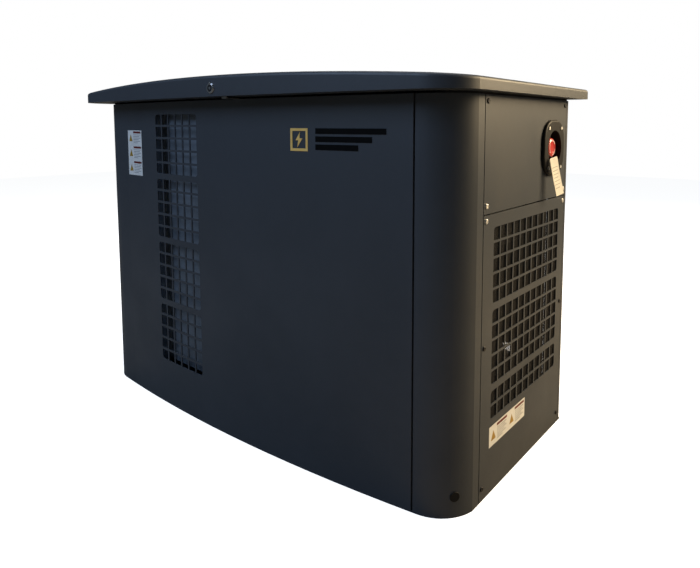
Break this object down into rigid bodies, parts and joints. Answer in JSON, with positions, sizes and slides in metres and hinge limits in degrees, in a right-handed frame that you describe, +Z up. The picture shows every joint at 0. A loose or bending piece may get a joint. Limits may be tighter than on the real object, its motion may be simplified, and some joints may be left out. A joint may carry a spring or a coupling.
{
  "type": "home standby generator",
  "caption": "Enclosed standby generator: bowed vented steel cabinet with a hinged crowned lid, lift-off front, emergency stop, and an air-cooled engine and alternator inside.",
  "frame": {"origin": "middle of the footprint's box, on the ground", "axes": "+X along the cabinet to the emergency-stop end, +Y to the rear hinges, +Z up"},
  "size_m": [1.1152, 0.5974, 0.761],
  "materials": {
    "powder_coat": "fine-textured dark anthracite powder coat",
    "galvanised_steel": "satin galvanised sheet",
    "zinc": "bright zinc plate",
    "black_oxide": "blackened screws",
    "chrome": "polished lock metal",
    "cast_aluminium": "sand-cast",
    "cast_iron": "dark cast",
    "forged_steel": "ground",
    "laminations": "stacked laminations with varnished windings",
    "muffler_steel": "heat-stained aluminised steel",
    "black_enamel": "semi-gloss black enamel",
    "grey_paint": "satin grey paint",
    "rubber": "matt black rubber",
    "foam": "charcoal acoustic foam",
    "foil_liner": "foil-faced sheet",
    "wire_mesh": "black woven mesh",
    "black_plastic": "fine-grained moulding",
    "grey_plastic": "fine-grained moulding",
    "red_plastic": "gloss moulding",
    "card": "uncoated card",
    "label_film": "printed film",
    "gold_film": "satin gold film",
    "battery_case": "polypropylene",
    "cable_sheath": "smooth sheath"
  },
  "bodies": {
    "cabinet": {"base_pan": "powder_coat", "top_frame": "galvanised_steel", "lid_seal": "rubber", "front_pillars": "powder_coat", "rear_posts": "powder_coat", "side_panel_upper_right": "powder_coat", "side_panel_upper_left": "powder_coat", "side_panels_lower": "powder_coat", "rear_panel": "powder_coat", "vent_meshes": "wire_mesh", "partition": "galvanised_steel", "seam_screws": "zinc", "corner_screws": "black_oxide", "lifting_plugs": "black_plastic", "side_label": "label_film", "hinge_cabinet_leaves": "galvanised_steel", "lock_strike": "galvanised_steel", "stop_bezel": "black_plastic", "stop_collar": "black_plastic", "crankcase": "cast_aluminium", "cylinders": "cast_aluminium", "cylinder_heads": "cast_aluminium", "valve_covers": "black_enamel", "pistons": "cast_aluminium", "fan_shroud": "black_enamel", "starter_motor": "black_enamel", "oil_filter": "black_enamel", "exhaust": "muffler_steel", "air_cleaner": "black_plastic", "gas_mixer": "cast_aluminium", "gas_regulator": "grey_paint", "alternator_housing": "cast_aluminium", "end_bell": "cast_aluminium", "stator": "laminations", "engine_cradle": "black_enamel", "rubber_mounts": "rubber", "battery": "battery_case", "leads_and_hoses": "cable_sheath", "control_box": "grey_paint", "controller": "grey_plastic", "breaker": "black_plastic"},
    "front_panel": {"front_panel": "powder_coat", "front_liner": "foil_liner", "front_label": "label_film", "badge": "gold_film"},
    "lid": {"lid": "powder_coat", "lid_foam": "foam", "lock_barrel": "chrome", "hinge_lid_leaves": "galvanised_steel"},
    "lock_plug": {"lock_plug": "chrome"},
    "lock_cover": {"lock_cover": "chrome"},
    "stop_stem": {"stop_stem": "black_plastic", "stop_tag": "card"},
    "stop_cap": {"stop_cap": "red_plastic"},
    "crank_train": {"crankshaft": "forged_steel", "flywheel": "cast_iron", "rotor": "laminations"},
    "dipstick": {"dipstick": "forged_steel"},
    "mode_switch": {"mode_switch": "red_plastic"},
    "breaker_lever": {"breaker_lever": "black_plastic"}
  },
  "joints": [
    {"name": "lid_hinge", "type": "hinge", "parent": "cabinet", "child": "lid", "pos_m": [0, 0.27185, 0.713], "axis": [-1, 0, 0], "range_deg": [0, 100]},
    {"name": "front_panel_lift_off", "type": "slide", "parent": "cabinet", "child": "front_panel", "axis": [0, -1, 0], "range_m": [0, 0.3]},
    {"name": "lock_turn", "type": "hinge", "parent": "lid", "child": "lock_plug", "pos_m": [0.027, -0.29485, 0.7365], "axis": [0, -1, 0], "range_deg": [0, 90]},
    {"name": "lock_cover_swing", "type": "hinge", "parent": "lid", "child": "lock_cover", "pos_m": [0.027, -0.29685, 0.7449], "axis": [0, -1, 0], "range_deg": [-120, 120]},
    {"name": "stop_push", "type": "slide", "parent": "cabinet", "child": "stop_stem", "axis": [-1, 0, 0], "range_m": [0, 0.004]},
    {"name": "stop_twist", "type": "hinge", "parent": "stop_stem", "child": "stop_cap", "pos_m": [0.529, 0.17035, 0.618], "axis": [1, 0, 0], "range_deg": [-45, 0], "stiffness_Nm_per_rad": 0.05},
    {"name": "crank_turn", "type": "hinge", "parent": "cabinet", "child": "crank_train", "pos_m": [0, 0.01, 0.215], "axis": [1, 0, 0], "continuous": true},
    {"name": "dipstick_pull", "type": "slide", "parent": "cabinet", "child": "dipstick", "axis": [0, 0, 1], "range_m": [0, 0.17]},
    {"name": "mode_switch_turn", "type": "hinge", "parent": "cabinet", "child": "mode_switch", "pos_m": [0.4445, -0.102, 0.684], "axis": [0, 0, 1], "range_deg": [-45, 45]},
    {"name": "breaker_throw", "type": "hinge", "parent": "cabinet", "child": "breaker_lever", "pos_m": [0.4325, 0.032, 0.678], "axis": [1, 0, 0], "range_deg": [-50, 0]}
  ]
}
